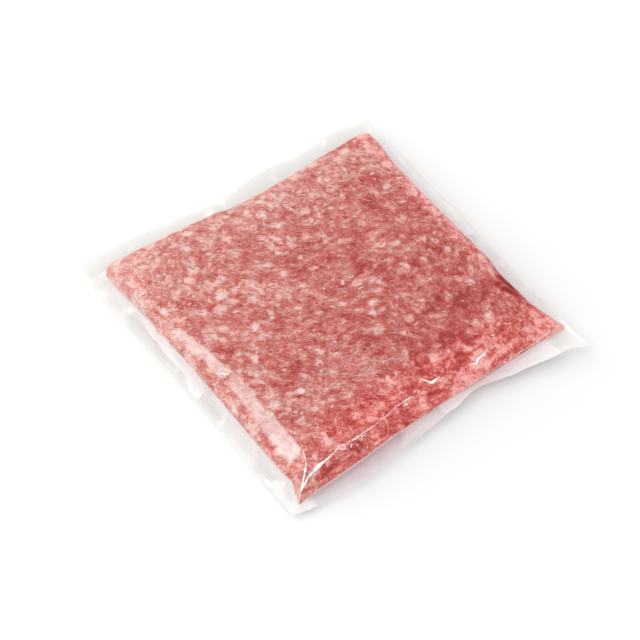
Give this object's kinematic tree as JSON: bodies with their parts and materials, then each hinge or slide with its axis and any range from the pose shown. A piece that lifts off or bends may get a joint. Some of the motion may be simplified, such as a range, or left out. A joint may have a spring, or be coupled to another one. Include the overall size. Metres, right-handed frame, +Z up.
{
  "type": "vacuum pouch of minced meat",
  "caption": "Flat square slab of coarse minced meat sealed in a clear vacuum pouch, with a wavy welded film rim all round and gathered corners; lies flat on a surface.",
  "frame": {"origin": "middle of the pouch's base on the surface it lies on: the centre of its box in X and Y, at its lowest point in Z", "axes": "+Z up, the thin direction; +X along the front edge to the right; +Y from the front edge to the back edge"},
  "size_m": [0.2014, 0.211, 0.0167],
  "materials": {
    "pressed_mince": "raw minced meat pressed flat: red lean with pinkish white fat grains and threads",
    "clear_film": "thin clear glossy packaging film, slightly milky, with creases"
  },
  "bodies": {
    "root": {"sealed_pouch": "pressed_mince"}
  },
  "joints": []
}
